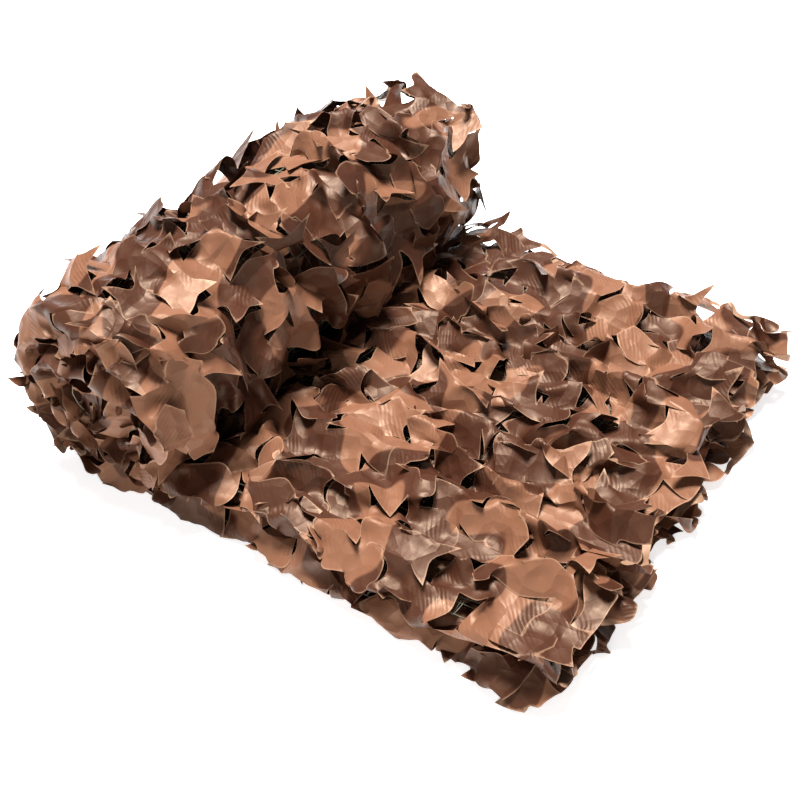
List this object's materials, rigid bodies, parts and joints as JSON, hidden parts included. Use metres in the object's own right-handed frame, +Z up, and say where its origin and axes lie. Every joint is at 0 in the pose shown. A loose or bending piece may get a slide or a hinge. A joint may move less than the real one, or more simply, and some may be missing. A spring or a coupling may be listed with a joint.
{
  "type": "camouflage net",
  "caption": "Leaf-cut brown camouflage net, folded lengthways into a band that is part laid flat and part rolled up.",
  "frame": {"origin": "middle of the footprint, on the surface the net lies on", "axes": "+X along the flat stretch from the roll to the free end, +Y along the roll, +Z up"},
  "size_m": [0.6338, 0.5496, 0.2127],
  "materials": {
    "brown_cloth": "thin coated polyester with a satin face, printed in two browns",
    "pale_cord": "matt thin cord, knotted into a square mesh"
  },
  "bodies": {
    "root": {"cut_cloth": "brown_cloth", "backing_net": "pale_cord"}
  },
  "joints": []
}
